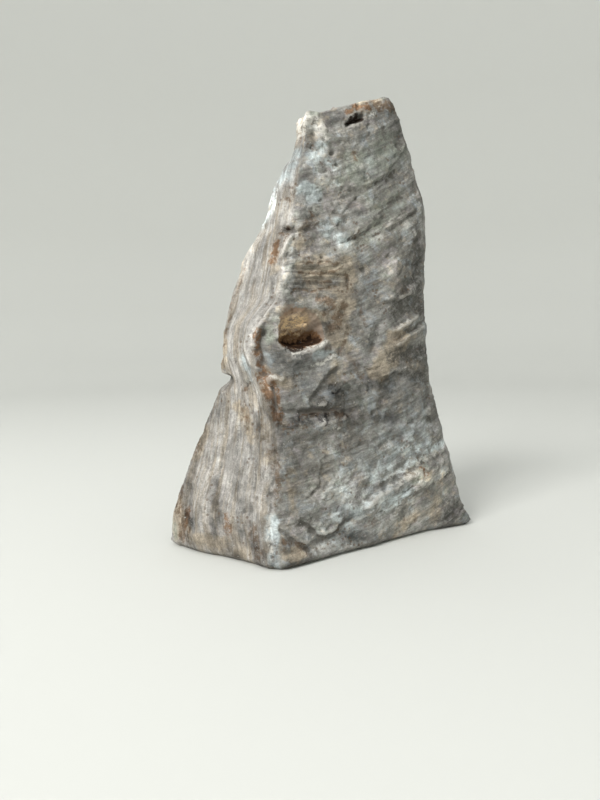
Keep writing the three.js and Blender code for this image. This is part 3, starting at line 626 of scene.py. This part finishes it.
# where the stone looks lighter, and where it looks darker: partly its own tone, and partly painted light and
# painted shade for how the light falls on its faces
STAINS_AND_PAINTED_LIGHT["light"] = [
    (20, 0.5, 6, 166, 20, 228),  # the upper part
    (18, 0.6, 6, 14, 14, 46),  # and the lower part as a whole
    (18, 0.6, 48, 18, 52, 50), (7, 2.2, -5, 36, 10, 36), (3, 2, 39, 37, 54, 42, 74, 49),
    (6, 1, 20, 30, 26, 38, 56, 52), (8, 0.9, 34, 22, 50, 22, 60, 20), (3.8, 3.2, 54, 32, 72, 35),
    (5, 2, 46, 19, 54, 20), (4, 1.5, 20, 38, 24, 30), (4, 1.4, -10, 8, 0, 7), (5, 1, 20, 10, 40, 14, 70, 22),
    (5, 1.6, -24, 20, -10, 18, 0, 14), (7, 0.5, 4, 60, 8, 46), (7, 0.7, 26, 54, 30, 66),
    (5, 1.7, 2, 163, 20, 163), (5, 1.6, 22, 167, 34, 171, 56, 177), (4, 1.3, 6, 174, 14, 174),
    (5, 2.6, 1, 195, 11, 195), (3, 1.5, 17, 166, 21, 165), (4.5, 3.4, -19, 151, -13, 153, -15, 160),
    (4, 1.8, -8, 156, 6, 159), (3.5, 1.8, -20, 138, -18, 145), (3, 1.2, -22, 131, -30, 124, -37, 104),
    (4, 3.2, -22, 127, -24, 117), (2.6, 1.2, -30, 118, -29, 112), (3.4, 2.2, -12, 134, 4, 133),
    (4, 1, -53, 140, -55, 124), (5, 3, -47, 150, -38, 168, -33, 178, -28, 186), (4, 0.7, -47, 114, -47, 96),
    (5, 0.8, -14, 178, -12, 172), (5, 0.6, -33, 190, -28, 172), (3.4, 1.2, -10, 98, 2, 99, 10, 100),
    (4, 1.8, -28, 87, -36, 81), (3, 1.2, 17, 113, 18, 108), (5, 2.8, -7, 227, -3, 225, 2, 220),
    (5, 1.2, -2, 206, 2, 210), (5, 1.2, 14, 220, 20, 214, 20, 206), (4, 3, 22, 237, 25, 241, 38, 242),
    (4, 0.9, 30, 224, 36, 227), (4, 2.6, 38, 149, 42, 155), (4, 1, 56, 176, 58, 190),
    (8, 0.4, -60, 58, -55, 38), (2.6, 1, -60.5, 26, -60, 18), (4, 0.6, -28, 30, -26, 18),
    (4, 0.6, -32, 148, -28, 156), (4, 0.8, -20, 6, -12, 4),
]
# the stone's own duller tone, and painted shade
STAINS_AND_PAINTED_LIGHT["duller_and_painted_shade"] = [
    (5, 1.3, -27, 82, -22, 66, -20, 48), (4.5, 1.6, -32, 68, -26, 60), (5, 2, -12, 74, 2, 74, 14, 76),
    (5, 1.6, 14, 72, 40, 70), (6, 0.8, -14, 66, 6, 68), (5, 2.4, 8, 88, 2, 81), (6, 1.9, 14, 85, 40, 90),
    (5, 0.7, 42, 92, 50, 80, 22, 78), (5, 1.4, -22, 103, -11, 102), (2, 1, 3, 109, 8, 113),
    (5, 1.9, 5, 117, 13, 121), (4.5, 0.8, 16, 116, 17, 98), (4, 0.6, -13, 147, -7, 144),
    (4, 0.7, 4, 138, 20, 138), (3.4, 0.9, 4, 154, 12, 153), (4, 0.9, 38, 134, 46, 138),
    (4, 0.5, 42, 112, 48, 106), (4, 0.9, 46, 62, 54, 60),
    (3.6, 1.4, -60, 80, -66, 64, -71, 48, -74, 30, -74, 8), (3.4, 1.4, -57, 38, -56, 24, -57, 12),
    (4, 1.1, -46, 44, -42, 26), (6, 1.2, -42, 16, -32, 4), (4, 0.6, -16, 56, -12, 50),
    (3, 1, 13, 165, 12, 172), (3, 1, -12, 214, -8, 208, -4, 214), (3, 1.2, -10, 195, -5, 196),
    (4, 1.2, 8, 155, 13, 153), (4, 0.8, 20, 181, 26, 178), (4, 1.8, -71, 18, -72, 6),
    (4, 1.4, -50, 4, -44, 2), (3.4, 1.3, 6, 27, 14, 19), (4, 1.8, 8, 15, 12, 9, 25, 8),
    (3, 1.6, -28, 1, -25, 6), (3, 1.2, -18, 3, -8, 2), (3, 1.2, 29, 31, 34, 33), (3, 1.2, 35, 46, 42, 48),
    (1.8, 1.2, 60, 37, 74, 39.5), (3, 1, 23, 201, 27, 199), (4, 1, 45, 236, 45, 226),
    (3.4, 1.8, 8, 227, 12, 230), (4, 0.8, 74, 4, 82, 12), (4, 1, 46, 92, 52, 88), (4, 0.8, -52, 90, -60, 70),
]
# the ochre on the niche's back
STAINS_AND_PAINTED_LIGHT["ochre"] = [
    (4.2, 1, -16.5, 121, -10, 122), (3, 1.1, -18, 114.5, -11, 115.5),
]
MARK_REACH = 1.7  # a stain, or a patch of painted light or shade, is gone this many times its width away from its path


def mark_amount(spots, x, z):
    amount = np.zeros(x.shape)
    for width, strength, *path in spots:
        nearest = path_place(path, x, z)[0]
        amount = np.maximum(amount, strength * (1 - smooth(nearest / (MARK_REACH * width))))
    return amount


# ======== The mesh ========
def put_in_scene(name, data):
    thing = bpy.data.objects.new(name, data)
    bpy.context.scene.collection.objects.link(thing)
    return thing


def ring_mesh(name, points, width, foot=None):
    """A smooth mesh of rings this many points wide, closed by fans at its last point and at the foot's."""
    i, j = np.meshgrid(np.arange(len(points) // width - 1), np.arange(width), indexing="ij")
    a = i * width + j
    b = i * width + (j + 1) % width
    faces = np.stack([a, b, b + width, a + width], axis=2).reshape(-1, 4).tolist()
    for column in range(width):
        after = (column + 1) % width
        if foot:
            faces.append((foot, after, column))
        faces.append((len(points) - 1, len(i) * width + column, len(i) * width + after))
    mesh = bpy.data.meshes.new(name)
    mesh.from_pydata(points.tolist(), [], faces)
    mesh.polygons.foreach_set("use_smooth", [True] * len(mesh.polygons))
    return mesh


EDGE_REACH = 4  # rows and columns each way that a point is compared with, to find edges and hollows
SWELL_REACH = 14  # and to find the broad swells
# The niche's colours, which turn to painted shade towards its floor and its right: how strong at its floor
# (at its roof they are 1 weaker), how much more for each millimetre to the right, how fast they come in from
# its ends, and the shares of its height from which and over which they come up.
NICHE_TINT_AND_SHADE = {"floor": 1.3, "right": 0.006, "ends": 3.0, "from": -0.05, "over": 0.08}
# The left face: how much the front crosses the layers where it begins, how much more where it is full, and
# the x that it ends at.
LEFT_FACE = {"from": 0.25, "over": 0.3, "to": 10.0}
STRATA_SLANT = 0.3  # how far the streaks' place along the front moves for each millimetre down


def divided(start, bands):
    """The places from start on, evenly apart within each band: (up to this place, this many)."""
    places = [start]
    for end, count in bands:
        places += [start + (end - start) * i / count for i in range(1, count + 1)]
        start = end
    return places


def column_places():
    """The face of each column, and the column's share of the way along it."""
    faces, shares = [], []
    for k, (_, columns, _) in enumerate(CORNERS.values()):
        places = divided(0, columns)[:-1]
        faces += [k] * len(places)
        shares += places
    return np.array(faces), np.array(shares, float)


def foot_rings(ring, normal):
    rings = []
    for rise, inset in FOOT_EDGE:
        lower = ring - normal * FOOT_INSET * inset
        lower[:, 2] = FOOT_RISE * rise
        rings.append(lower)
    return np.array(rings)


def top_rings(rim):
    """The rings of the top, from inside its rim to its middle, where the last is a point."""
    rim = rim.copy()
    rim[:, 2] -= top_rise(rim[:, 0], rim[:, 1])
    middle = rim.mean(axis=0)
    rings = []
    for i in range(1, TOP_RINGS + 1):
        share = i / TOP_RINGS
        ring = rim + (middle - rim) * share
        x, y = ring[:, 0], ring[:, 1]
        ring[:, 2] += TOP_DOME * (1 - (1 - share) ** 2) + top_rise(x, y) + top_grain(x, y, share)
        rings.append(ring)
    return np.array(rings)


def material_fields(plain, relief, crossing, front):
    x, z = plain[..., 0], plain[..., 2]
    places = shifted(x, z, MARK_SHIFTS)
    fields = {name: front * mark_amount(spots, *places) for name, spots in STAINS_AND_PAINTED_LIGHT.items()}
    wx, wz = shifted(x, z, FORM_SHIFTS)
    share, opening = niche_share(wx, wz)
    # the niche's tint, which darkens into painted shade towards its floor and to the right
    rise = smooth((share - NICHE_TINT_AND_SHADE["from"]) / NICHE_TINT_AND_SHADE["over"])
    tint = NICHE_TINT_AND_SHADE["floor"] - share + NICHE_TINT_AND_SHADE["right"] * (wx - NICHE["middle"])
    fields["niche"] = front * smooth(opening * NICHE_TINT_AND_SHADE["ends"]) * rise * np.maximum(tint, 0)
    fields["ochre"] *= fields["niche"] > 0
    # how far each point stands out of its surroundings, which the material paints as highlight and shade
    fields["edge"] = relief - blurred(relief, EDGE_REACH)
    fields["swell"] = relief - blurred(relief, SWELL_REACH)
    fields["crossing"] = crossing
    across = smooth((crossing - LEFT_FACE["from"]) / LEFT_FACE["over"])
    fields["left_face"] = front * across * (x < LEFT_FACE["to"])
    return fields


def spread(field):
    """A field of the sides, held on below them to the foot and above them to the top."""
    low = np.repeat(field[:1], len(FOOT_EDGE), axis=0)
    high = np.repeat(field[-1:], TOP_RINGS - 1, axis=0)
    return np.concatenate([low, field, high])


def build_points():
    """The block's points, row by row, its top's middle, and the fields that its material reads."""
    k, t = column_places()
    shares = np.array(divided(FOOT_RISE, ROW_BANDS)) / HEIGHT
    corners = [corners_at(v) for v in shares]
    plain = np.array([outline_point(c, k, t) for c in corners])
    # the sides rise and fall with the top where they meet it
    near = smooth((shares - TOP_MEETS) / (1 - TOP_MEETS))[:, None]
    plain[..., 2] += near * top_rise(plain[..., 0], plain[..., 1])
    normal = np.array([outward(c, k, t) for c in corners])
    # the layers lie along the front, and depth counts how far in from it a point lies
    along = unit(np.array([c[FACES["shoulder"]] - c[FACES["arris"]] for c in corners]))
    inward = np.stack([-along[:, 1], along[:, 0], np.zeros(len(along))], axis=1)[:, None, :]
    origin = np.array([c[FACES["arris"]] for c in corners])[:, None, :]
    depth = ((plain - origin) * inward).sum(2)
    crossing = 1 - (normal * inward).sum(2) ** 2
    front = np.broadcast_to(front_share(k, t), depth.shape)
    relief = coarse_relief(plain, crossing, depth, front) + fine_relief(plain, crossing, depth, front)
    points = plain + normal * relief[..., None]
    top = top_rings(points[-1])
    sheet = np.concatenate([foot_rings(points[0], normal[0]), points, top[:-1]])
    fields = material_fields(plain, relief, crossing, front)
    x, z = plain[..., 0], plain[..., 2]
    strata = np.stack([depth, grain_level(x, z), x - STRATA_SLANT * z], axis=2)
    return sheet, top[-1][0], {name: spread(field) for name, field in fields.items()}, spread(strata)


def build_block():
    """The stone as one closed mesh, with a fan of triangles at the middle of its foot and of its top."""
    sheet, peak, fields, strata = build_points()
    flat = sheet.reshape(-1, 3)
    lowest = np.array([*OFF_MIDDLE, 0.0])
    points = (np.concatenate([flat, [lowest, peak]]) - lowest) * MM
    points = np.clip(points, *(np.array(c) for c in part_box(NODE)))
    mesh = ring_mesh("soapstone", points, sheet.shape[1], foot=len(flat))
    for name, field in fields.items():
        values = np.concatenate([field.ravel(), [0.0, field[-1].mean()]]).astype(np.float32)
        mesh.attributes.new(name, "FLOAT", "POINT").data.foreach_set("value", values)
    ends = np.array([strata[0].mean(axis=0), strata[-1].mean(axis=0)])
    values = np.concatenate([strata.reshape(-1, 3), ends]).astype(np.float32)
    mesh.attributes.new("strata", "FLOAT_VECTOR", "POINT").data.foreach_set("vector", values.ravel())
    mesh.update()
    return put_in_scene("soapstone", mesh)


# ======== The stone's material ========
def linear(r, g, b):
    """A colour given as screen values from 0 to 255, as the shader wants it."""
    return tuple(((c / 255) ** 2.2) for c in (r, g, b)) + (1.0,)


class Nodes:
    """Short ways to add and join a material's nodes."""

    def __init__(self, material):
        material.use_nodes = True
        self.tree = material.node_tree
        self.tree.nodes.clear()

    def add(self, kind, inputs=None, **settings):
        node = self.tree.nodes.new(kind)
        for name, value in settings.items():
            setattr(node, name, value)
        for name, value in (inputs or {}).items():
            if isinstance(value, bpy.types.NodeSocket):
                self.tree.links.new(value, node.inputs[name])
            else:
                node.inputs[name].default_value = value
        return node

    def finish(self, **inputs):
        """Ends the material in a shader with these inputs."""
        named = {name.replace("_", " "): value for name, value in inputs.items()}
        shader = self.add("ShaderNodeBsdfPrincipled", named)
        self.add("ShaderNodeOutputMaterial", {"Surface": shader.outputs["BSDF"]})

    def field(self, name):
        return self.add("ShaderNodeAttribute", attribute_name=name).outputs["Fac"]

    def math(self, operation, a, b=0.0, c=0.0):
        return self.add("ShaderNodeMath", {0: a, 1: b, 2: c}, operation=operation).outputs[0]

    def ramp(self, value, low, high, out_low=0.0, out_high=1.0):
        """Value taken from low..high to out_low..out_high, smoothly, and held there outside."""
        inputs = {"Value": value, "From Min": low, "From Max": high, "To Min": out_low, "To Max": out_high}
        return self.add("ShaderNodeMapRange", inputs, interpolation_type="SMOOTHSTEP").outputs["Result"]

    def noise(self, vector, scale, detail, roughness, distortion=0.0):
        inputs = dict(Vector=vector, Scale=scale, Detail=detail, Roughness=roughness, Distortion=distortion)
        return self.add("ShaderNodeTexNoise", inputs).outputs["Fac"]

    def stretch(self, vector, scale):
        return self.add("ShaderNodeMapping", {"Vector": vector, "Scale": scale}).outputs["Vector"]

    def blend(self, amount, a, b):
        return self.add("ShaderNodeMix", {0: amount, 2: a, 3: b}, data_type="FLOAT").outputs[0]

    def mix(self, amount, a, b):
        return self.add("ShaderNodeMix", {0: amount, 6: a, 7: b}, data_type="RGBA").outputs[2]

    def tint(self, colour, tone, field, low, high, most):
        """The colour, going over to this share of the tone at most as the field goes from low to high."""
        return self.mix(self.ramp(field, low, high, 0.0, most), colour, tone)

    def vary(self, value, field, low, high, by):
        """The value, smaller by this share where the field is low, and larger where it is high."""
        change = self.math("MULTIPLY", self.ramp(field, low, high, -1.0, 1.0), by)
        return self.math("MULTIPLY", value, self.math("ADD", change, 1.0))


GREY = linear(131, 130, 126)
GREY_DARK = linear(107, 105, 100)
GREY_BLUE = linear(141, 147, 151)
PALE_BLUE = linear(166, 174, 175)
LILAC = linear(136, 131, 132)
GREEN = linear(118, 122, 113)
BEIGE = linear(146, 136, 121)
PALE = linear(196, 192, 184)
CREAM = linear(205, 202, 194)
# the tone of painted shade, in the shade marks and in the hollows
SHADE = linear(82, 80, 76)
BROWN = linear(92, 77, 63)
RUST = linear(106, 82, 62)
LAYER_GREY = linear(143, 140, 136)
CHEEK_GREY = linear(118, 119, 118)
NICHE_OCHRE = linear(206, 178, 140)
NICHE_TAN = linear(132, 114, 99)
# the niche's lower part: brown stone in painted shade
NICHE_SHADED_BROWN = linear(104, 76, 52)
# the tone of painted shadow, in the hole, the notch and at the niche's floor
PAINTED_SHADOW_TONE = linear(38, 26, 18)


def stone_patterns(n):
    """The patterns that the stone's colours and its bumps share."""
    place = n.add("ShaderNodeTexCoord").outputs["Object"]
    strata = n.add("ShaderNodeAttribute", attribute_name="strata").outputs["Vector"]
    on_layers = n.ramp(n.field("crossing"), 0.3, 0.6)

    # these run along the layers where the face crosses them, and along the breaks elsewhere
    def woven(layer_scale, break_scale, detail, roughness, distortion):
        across_layers = n.noise(n.stretch(strata, layer_scale), 1.0, detail, roughness, distortion)
        along_breaks = n.noise(n.stretch(strata, break_scale), 1.0, detail, roughness, distortion)
        return n.blend(on_layers, along_breaks, across_layers)

    cells = n.add("ShaderNodeTexVoronoi", {"Vector": place, "Scale": 360.0}).outputs["Distance"]
    clusters = n.ramp(n.noise(place, 70.0, 3.0, 0.6), 0.53, 0.62)
    return SimpleNamespace(
        place=place,
        on_layers=on_layers,
        streaks=woven((0.3, 0.03, 0.02), (0.04, 0.22, 0.04), 4.0, 0.6, 0.5),
        mottle=woven((0.5, 0.09, 0.05), (0.1, 0.42, 0.2), 4.0, 0.68, 0.5),
        strokes=woven((1.0, 0.06, 0.05), (0.12, 0.85, 0.14), 3.0, 0.6, 0.3),
        beds=n.noise(n.stretch(place, (0.1, 0.1, 1.0)), 430.0, 2.0, 0.5, 0.3),
        patches=n.noise(place, 50.0, 5.0, 0.65, 0.5),
        hues=n.noise(place, 100.0, 4.0, 0.7, 0.6),
        more_hues=n.noise(n.stretch(place, (1.0, 1.0, 1.3)), 150.0, 4.0, 0.7, 0.4),
        speckle=n.noise(place, 560.0, 3.0, 0.7),
        grain=n.noise(place, 1300.0, 2.0, 0.6),
        pocks=n.math("MULTIPLY", n.ramp(cells, 0.34, 0.2), clusters),
        # these break up the stains
        broken=n.ramp(n.noise(place, 340.0, 4.0, 0.7, 0.4), 0.36, 0.64, 0.35, 1.5),
        flaked=n.ramp(n.noise(place, 420.0, 4.0, 0.75, 0.6), 0.4, 0.6, 0.1, 1.35),
        clouded=n.ramp(n.noise(place, 150.0, 3.0, 0.6, 0.4), 0.36, 0.64, 0.5, 1.35),
    )


def body_colour(n, look):
    """Greys that turn bluish, lilac, beige and green in patches, and the left face's warm streaks."""
    colour = n.mix(n.ramp(look.patches, 0.4, 0.6), GREY_DARK, GREY)
    colour = n.tint(colour, GREY_BLUE, look.hues, 0.52, 0.66, 0.55)
    colour = n.tint(colour, LILAC, look.hues, 0.48, 0.34, 0.55)
    colour = n.tint(colour, BEIGE, look.more_hues, 0.53, 0.67, 0.5)
    colour = n.tint(colour, GREEN, look.more_hues, 0.46, 0.34, 0.45)
    left_face = n.field("left_face")
    colour = n.mix(n.math("MULTIPLY", left_face, 0.75), colour, LAYER_GREY)
    warm = n.math("MULTIPLY", left_face, n.ramp(look.streaks, 0.45, 0.62, 0.0, 0.6))
    return n.mix(warm, colour, BEIGE)


def overlaid(n, colour, breaks, **marks):
    """The colour with stains, painted shade and painted highlights laid over it, each with its tone and the
    most of it that shows.
    """
    for name, (tone, most) in marks.items():
        amount = n.math("MULTIPLY", n.field(name), breaks)
        colour = n.tint(colour, tone, amount, 0.1, 0.85, most)
    return colour


def lightness(n, look):
    """Streaks, mottling, blotches, stripes and grain, and the parts that are lighter or duller, partly in
    their own tone and partly as painted light and painted shade.
    """
    value = 1.0
    for pattern, low, high, by in (
        (look.streaks, 0.64, 0.36, n.blend(look.on_layers, 0.1, 0.15)),
        (look.mottle, 0.34, 0.66, n.blend(look.on_layers, 0.14, 0.2)),
        (look.strokes, 0.36, 0.64, n.blend(look.on_layers, 0.12, 0.15)),
        (n.noise(look.place, 130.0, 3.0, 0.6, 0.5), 0.36, 0.64, 0.1),
        (n.noise(look.place, 62.0, 3.0, 0.6, 0.4), 0.36, 0.64, 0.12),
        (n.noise(look.place, 30.0, 2.0, 0.5, 0.3), 0.36, 0.64, 0.08),
        (look.beds, 0.36, 0.64, n.math("MULTIPLY", n.field("beds"), 0.4)),
        (look.speckle, 0.3, 0.7, 0.17),
        (look.grain, 0.3, 0.7, 0.12),
    ):
        value = n.vary(value, pattern, low, high, by)
    # painted light and painted shade, with the stone's own lighter and darker tones
    for name, by in (("light", 0.5), ("duller_and_painted_shade", -0.34)):
        amount = n.math("MULTIPLY", n.field(name), look.clouded)
        value = n.math("MULTIPLY", value, n.math("MULTIPLY_ADD", amount, by, 1.0))
    return value


def shaded_hollows_and_lit_edges(n, look, colour):
    """Painted shade in the hollows and the broad dips, and painted highlights on the raised edges."""
    edge = n.math("MULTIPLY_ADD", n.math("SUBTRACT", look.speckle, 0.5), 1.2, n.field("edge"))
    colour = n.tint(colour, SHADE, edge, -0.3, -1.0, 0.65)
    colour = n.tint(colour, PALE, edge, 0.5, 1.2, 0.35)
    return n.tint(colour, GREY_DARK, n.field("swell"), -0.6, -2.6, 0.35)


def niche_colours(n, look, colour):
    """Tan under the niche's roof, ochre in its middle, and painted shade towards its floor, first brown and
    then dark.
    """
    niche = n.math("MULTIPLY_ADD", n.math("SUBTRACT", look.broken, 0.9), 0.2, n.field("niche"))
    colour = n.tint(colour, NICHE_TAN, niche, 0.08, 0.3, 0.7)
    colour = n.mix(n.math("MULTIPLY", n.field("ochre"), look.flaked), colour, NICHE_OCHRE)
    colour = n.tint(colour, NICHE_SHADED_BROWN, niche, 0.76, 1.0, 0.9)
    return n.tint(colour, PAINTED_SHADOW_TONE, niche, 1.02, 1.2, 0.85)


def specked(n, look, colour):
    colour = n.tint(colour, BROWN, look.speckle, 0.64, 0.73, 0.55)
    colour = n.tint(colour, PALE, look.speckle, 0.35, 0.27, 0.5)
    return n.mix(n.math("MULTIPLY", look.pocks, 0.6), colour, BROWN)


def stone_bump(n, look):
    height = n.math("MULTIPLY_ADD", look.speckle, 0.6, n.math("MULTIPLY", look.grain, 0.3))
    for pattern, by in ((look.streaks, 0.5), (look.mottle, 0.8), (look.strokes, 0.6), (look.pocks, -0.5)):
        height = n.math("MULTIPLY_ADD", pattern, by, height)
    bump = n.add("ShaderNodeBump", {"Height": height, "Strength": 0.6, "Distance": 0.0009})
    return bump.outputs["Normal"]


def soapstone_material():
    material = bpy.data.materials.new("soapstone")
    n = Nodes(material)
    look = stone_patterns(n)
    colour = body_colour(n, look)
    colour = overlaid(n, colour, look.clouded, beige=(BEIGE, 0.85), blue=(PALE_BLUE, 0.8), green=(GREEN, 0.75))
    colour = n.mix(n.math("MULTIPLY", n.field("calm"), 0.6), colour, CHEEK_GREY)
    # painted shade from the shade marks, then the brown and rust stains
    colour = overlaid(n, colour, look.broken, shade=(SHADE, 0.8), brown=(BROWN, 0.8), rust=(RUST, 0.9))
    lit = n.add("ShaderNodeVectorMath", {0: colour, "Scale": lightness(n, look)}, operation="SCALE")
    # painted shade in the hollows and painted highlights on the raised edges
    colour = shaded_hollows_and_lit_edges(n, look, lit.outputs[0])
    # the niche's colours, with painted shade towards its floor and its right
    colour = niche_colours(n, look, colour)
    # painted highlights on the lips, ledges and flakes, and some pale spots of the stone's own
    colour = overlaid(n, colour, look.flaked, pale=(CREAM, 0.75))
    # painted shadow in the hole, the notch and the niche's floor
    colour = overlaid(n, colour, look.broken, dark=(PAINTED_SHADOW_TONE, 0.92))
    n.finish(
        Base_Color=specked(n, look, colour),
        Roughness=n.ramp(look.patches, 0.3, 0.7, 0.7, 0.9),
        Specular_IOR_Level=0.12,
        Normal=stone_bump(n, look),
    )
    return material


# ======== The stage and the light, in metres, and the camera ========
FLOOR_TONE = linear(196, 197, 192)
FLOOR_ROUGHNESS = 0.9
FLOOR_TURNS = 96  # the sides of each of its rings
# Its rings, as (radius, height).
FLOOR_RINGS = [(1.76, 2.6), (1.74, 0.9), (1.68, 0.44), (1.55, 0.2), (1.35, 0.06), (1.1, 0), (0.6, 0)]

SKY_TONE = (0.97, 0.98, 1.0, 1.0)
SKY_STRENGTH = 1.5
LIGHT_PLACE = (-0.78, -0.93, 1.08)
LIGHT_TARGET = (0.0, 0.0, 0.12)
LIGHT_SIZE = 0.6
LIGHT_POWER = 25.0
LIGHT_TONE = (1.0, 0.995, 0.985)

# The view: a phone's wide lens, level with the middle of the block, turned down and tilted a little.
LENS = 27.0
SENSOR = 36.0
VIEW_FROM = (-11.55, -347.9, 114.04)  # millimetres from the line that the stations are measured from
VIEW_DOWN = 5.92  # degrees
VIEW_ROLL = -0.95


def build_floor():
    """A pale floor that curves up all round, so that no horizon shows."""
    angles = 2 * math.pi * np.arange(FLOOR_TURNS) / FLOOR_TURNS
    rings = [
        np.stack([radius * np.cos(angles), radius * np.sin(angles), np.full(FLOOR_TURNS, height)], axis=1)
        for radius, height in FLOOR_RINGS
    ]
    floor = put_in_scene("floor", ring_mesh("floor", np.concatenate([*rings, [[0, 0, 0]]]), FLOOR_TURNS))
    material = bpy.data.materials.new("floor")
    Nodes(material).finish(Base_Color=FLOOR_TONE, Roughness=FLOOR_ROUGHNESS)
    floor.data.materials.append(material)


def light_scene():
    """A pale sky all round, and one broad light from the upper left in front."""
    world = bpy.data.worlds.new("sky")
    world.use_nodes = True
    background = world.node_tree.nodes["Background"]
    background.inputs["Color"].default_value = SKY_TONE
    background.inputs["Strength"].default_value = SKY_STRENGTH
    bpy.context.scene.world = world
    data = bpy.data.lights.new("key", "AREA")
    data.shape = "SQUARE"
    data.size = LIGHT_SIZE
    data.energy = LIGHT_POWER
    data.color = LIGHT_TONE
    light = put_in_scene("key", data)
    light.location = LIGHT_PLACE
    aim = Vector(LIGHT_TARGET) - Vector(LIGHT_PLACE)
    light.rotation_euler = aim.to_track_quat("-Z", "Y").to_euler()


def add_camera():
    data = bpy.data.cameras.new("camera")
    data.sensor_fit = "AUTO"
    data.sensor_width = SENSOR
    data.lens = LENS
    data.clip_start = 0.01
    camera = put_in_scene("camera", data)
    tilt = Matrix.Rotation(math.radians(90 - VIEW_DOWN), 4, "X")
    roll = Matrix.Rotation(math.radians(VIEW_ROLL), 4, "Z")
    place = Vector(VIEW_FROM) - Vector((*OFF_MIDDLE, 0))
    camera.matrix_world = Matrix.Translation(place * MM) @ tilt @ roll
    bpy.context.scene.camera = camera


block = build_block()
block.data.materials.append(soapstone_material())
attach(block, "root")
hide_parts(NODE)
build_floor()
light_scene()
add_camera()
bpy.context.scene.view_settings.view_transform = "Standard"
